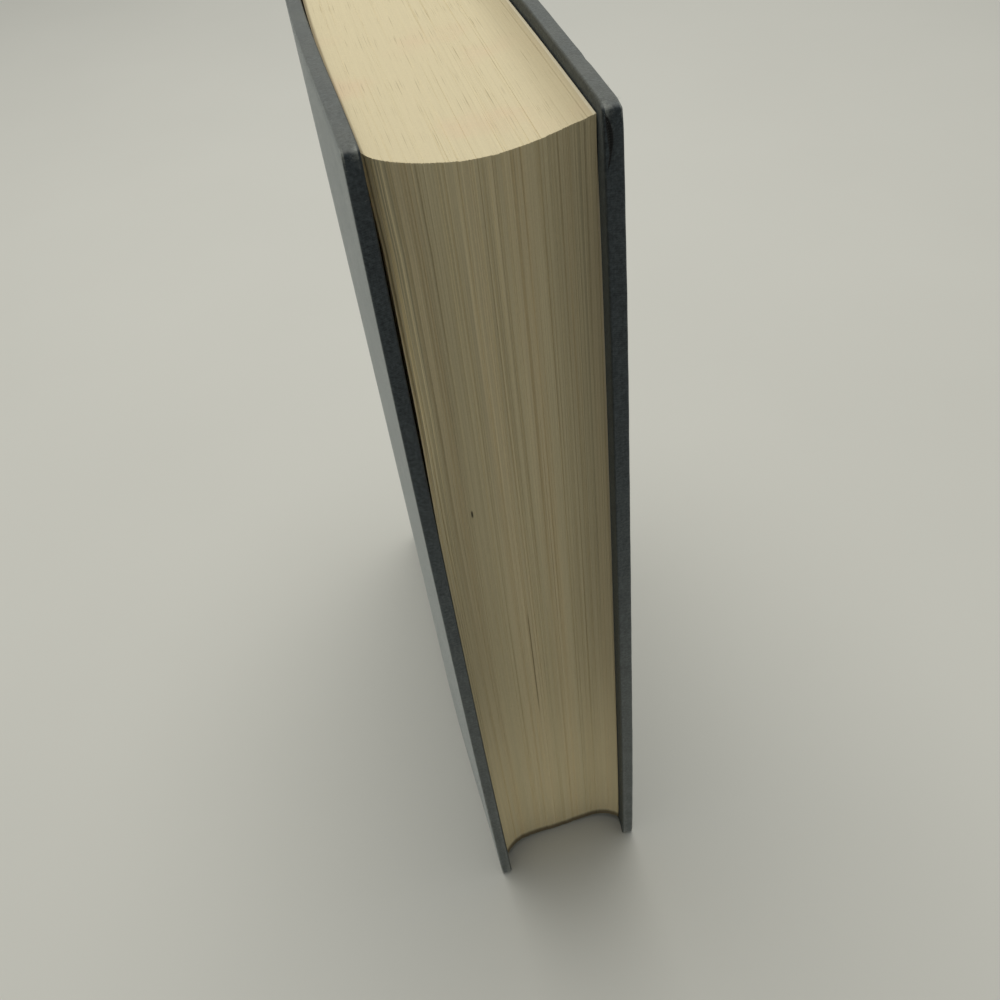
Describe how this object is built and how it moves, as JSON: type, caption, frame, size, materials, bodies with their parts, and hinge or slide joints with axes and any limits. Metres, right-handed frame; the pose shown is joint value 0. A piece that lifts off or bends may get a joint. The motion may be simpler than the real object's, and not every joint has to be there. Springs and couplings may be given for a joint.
{
  "type": "hardback book",
  "caption": "Cloth-cased hardback book standing on its tail, with sagged leaves, a rounded spine and covers that swing open on cloth joints.",
  "frame": {"origin": "middle of the closed book's footprint, on the surface that it stands on", "axes": "+Z from tail to head, +Y from fore edge to spine, +X from front cover to rear cover"},
  "size_m": [0.0404, 0.147, 0.222],
  "materials": {
    "leaves": "uncoated cream book paper, edges trimmed and dusty",
    "endpaper": "plain cream endpaper, smooth and matt",
    "lining": "brown lining paper over open-weave mull",
    "board": "dense grey pulp board",
    "band": "plain woven cotton band",
    "case_cloth": "slate grey-blue book cloth, fine plain weave, rubbed pale along its edges"
  },
  "bodies": {
    "book_block": {"text_block": "leaves", "spine_lining": "lining", "headband": "band", "tailband": "band", "spine_card": "board", "spine_cloth": "case_cloth"},
    "front_cover": {"front_board": "board", "front_cloth": "case_cloth", "front_pastedown": "endpaper"},
    "rear_cover": {"rear_board": "board", "rear_cloth": "case_cloth", "rear_pastedown": "endpaper"}
  },
  "joints": [
    {"name": "front_cover_hinge", "type": "hinge", "parent": "book_block", "child": "front_cover", "pos_m": [-0.0202, 0.0617, 0.111], "axis": [0, 0, -1], "range_deg": [0, 178]},
    {"name": "rear_cover_hinge", "type": "hinge", "parent": "book_block", "child": "rear_cover", "pos_m": [0.0202, 0.0617, 0.111], "axis": [0, 0, 1], "range_deg": [0, 178]}
  ]
}
